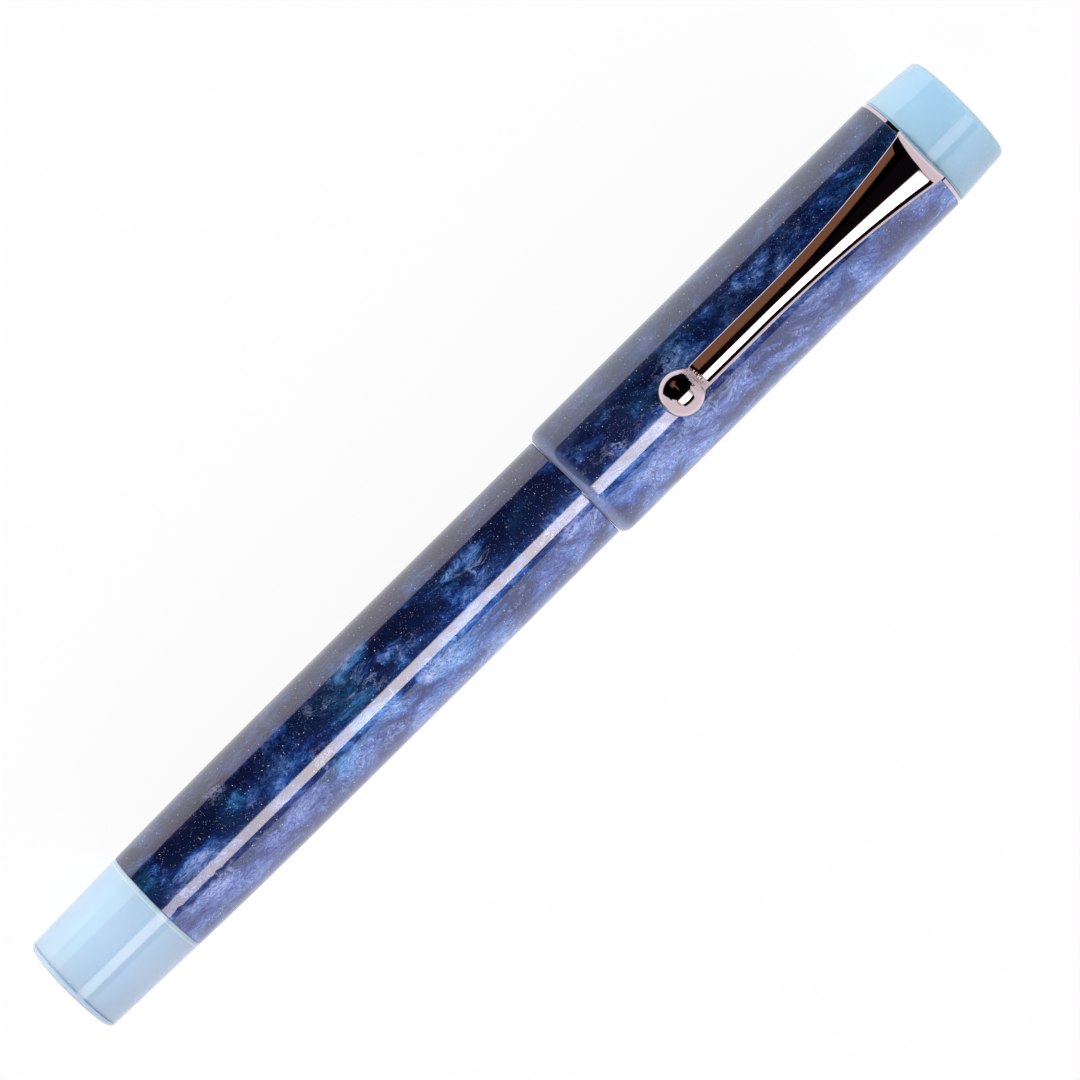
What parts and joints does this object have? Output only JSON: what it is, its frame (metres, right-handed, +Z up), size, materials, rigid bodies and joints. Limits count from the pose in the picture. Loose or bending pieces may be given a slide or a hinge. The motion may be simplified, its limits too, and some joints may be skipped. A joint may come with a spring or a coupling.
{
  "type": "fountain pen",
  "caption": "Capped eyedropper fountain pen with a marbled blue resin barrel and cap, pale blue ends, and a flared clip tipped with a flattened ball.",
  "frame": {"origin": "On the surface under the middle of the closed pen: X = 0 halfway along it, Y = 0 on its axis, Z = 0 at the cap's lowest line.", "axes": "+X along the pen from the valve knob to the cap finial, +Y across it, +Z up through the clip."},
  "size_m": [0.138, 0.0152, 0.0184],
  "materials": {
    "cap_resin": "marbled pearl resin, high polish",
    "barrel_resin": "marbled pearl resin, high polish",
    "section_resin": "marbled pearl resin, high polish",
    "pale_resin": "pale translucent resin, high polish",
    "clip_chrome": "mirror polish",
    "brass": "machined",
    "liner_plastic": "satin",
    "silicone": "satin",
    "black_plastic": "fine machined satin",
    "nib_steel": "polished",
    "rod_steel": "fine ground",
    "rubber": "satin"
  },
  "bodies": {
    "barrel": {"barrel_tube": "barrel_resin", "valve_gland": "black_plastic", "gland_oring": "rubber", "rod_seals": "rubber", "gland_nut": "black_plastic"},
    "section_seal": {"section_oring": "silicone"},
    "nib_collar": {"nib_housing": "black_plastic"},
    "section": {"section": "section_resin", "feed": "black_plastic", "nib": "nib_steel"},
    "liner_seal": {"inner_cap_seal": "silicone"},
    "liner": {"inner_cap": "liner_plastic"},
    "cap": {"cap_tube": "cap_resin", "cap_finial": "pale_resin", "cap_stud": "brass", "clip_ring": "clip_chrome"},
    "clip": {"clip_arm": "clip_chrome", "clip_ball": "clip_chrome"},
    "valve": {"valve_rod": "rod_steel", "valve_stopper": "rubber", "rod_nut": "rod_steel"},
    "knob": {"knob": "pale_resin", "knob_end_cap": "pale_resin"}
  },
  "joints": [
    {"name": "section_pull", "type": "slide", "parent": "barrel", "child": "section_seal", "axis": [1, 0, 0], "range_m": [0, 0.025]},
    {"name": "section_lead", "type": "slide", "parent": "section_seal", "child": "nib_collar", "axis": [1, 0, 0], "range_m": [0, 0.005]},
    {"name": "section_unscrew", "type": "hinge", "parent": "nib_collar", "child": "section", "pos_m": [0.01, 0, 0.00756], "axis": [1, 0, 0], "range_deg": [0, 1800]},
    {"name": "cap_pull", "type": "slide", "parent": "section", "child": "liner_seal", "axis": [1, 0, 0], "range_m": [0, 0.062]},
    {"name": "cap_lead", "type": "slide", "parent": "liner_seal", "child": "liner", "axis": [1, 0, 0], "range_m": [0, 0.0045]},
    {"name": "cap_unscrew", "type": "hinge", "parent": "liner", "child": "cap", "pos_m": [0.01, 0, 0.00756], "axis": [1, 0, 0], "range_deg": [0, 1080]},
    {"name": "clip_flex", "type": "hinge", "parent": "cap", "child": "clip", "pos_m": [0.0611, 0, 0.01525], "axis": [0, 1, 0], "range_deg": [0, 5], "stiffness_Nm_per_rad": 1.5, "springref_deg": -1.72},
    {"name": "valve_slide", "type": "slide", "parent": "barrel", "child": "valve", "axis": [-1, 0, 0], "range_m": [0, 0.003]},
    {"name": "knob_turn", "type": "hinge", "parent": "valve", "child": "knob", "pos_m": [-0.06, 0, 0.00756], "axis": [-1, 0, 0], "range_deg": [0, 720]}
  ],
  "couplings": [
    {"joint": "section_unscrew", "follows": "section_lead", "rad_per_m": 6283.1},
    {"joint": "cap_unscrew", "follows": "cap_lead", "rad_per_m": 4188.7},
    {"joint": "knob_turn", "follows": "valve_slide", "rad_per_m": 4188.7}
  ]
}
